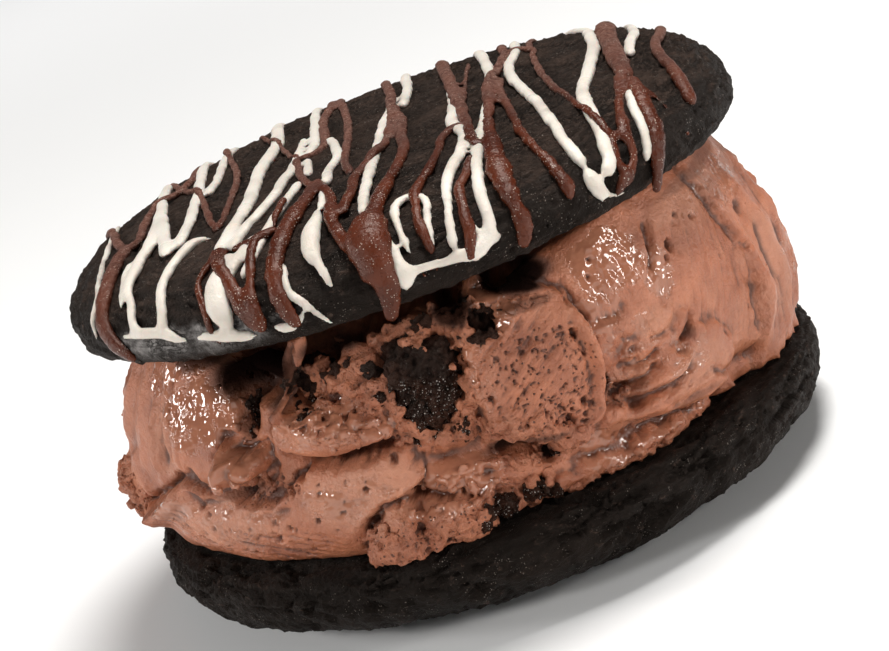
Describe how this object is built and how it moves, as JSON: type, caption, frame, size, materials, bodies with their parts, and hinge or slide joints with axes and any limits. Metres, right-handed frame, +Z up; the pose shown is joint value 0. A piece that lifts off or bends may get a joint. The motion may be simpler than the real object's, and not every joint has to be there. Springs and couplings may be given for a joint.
{
  "type": "ice cream sandwich",
  "caption": "Ice cream sandwich: two thick dark chocolate cookies round a tall hand-scooped slab of chocolate ice cream with lumps of brownie, the top one drizzled with chocolate.",
  "frame": {"origin": "centre of the flat spot under the bottom cookie, on the surface the sandwich stands on", "axes": "+Z up through both cookies, -Y out of the shown front, +X to the right as the front is seen"},
  "size_m": [0.091, 0.0903, 0.0529],
  "materials": {
    "dark_cookie": "dry baked black-cocoa cookie, finely cracked and crumbly at the rim",
    "chocolate_ice_cream": "softening chocolate ice cream, smooth and wet where it melts, torn and porous where it was scooped",
    "brownie": "moist dark brownie crumb with small glints",
    "white_chocolate": "set white chocolate, smooth satin",
    "milk_chocolate": "set milk chocolate, glossy in front and frosted behind"
  },
  "bodies": {
    "root": {"bottom_cookie": "dark_cookie", "top_cookie": "dark_cookie", "ice_cream": "chocolate_ice_cream", "brownie_front": "brownie", "brownie_left": "brownie", "brownie_top": "brownie", "brownie_foot": "brownie", "brownie_heel": "brownie"}
  },
  "joints": []
}
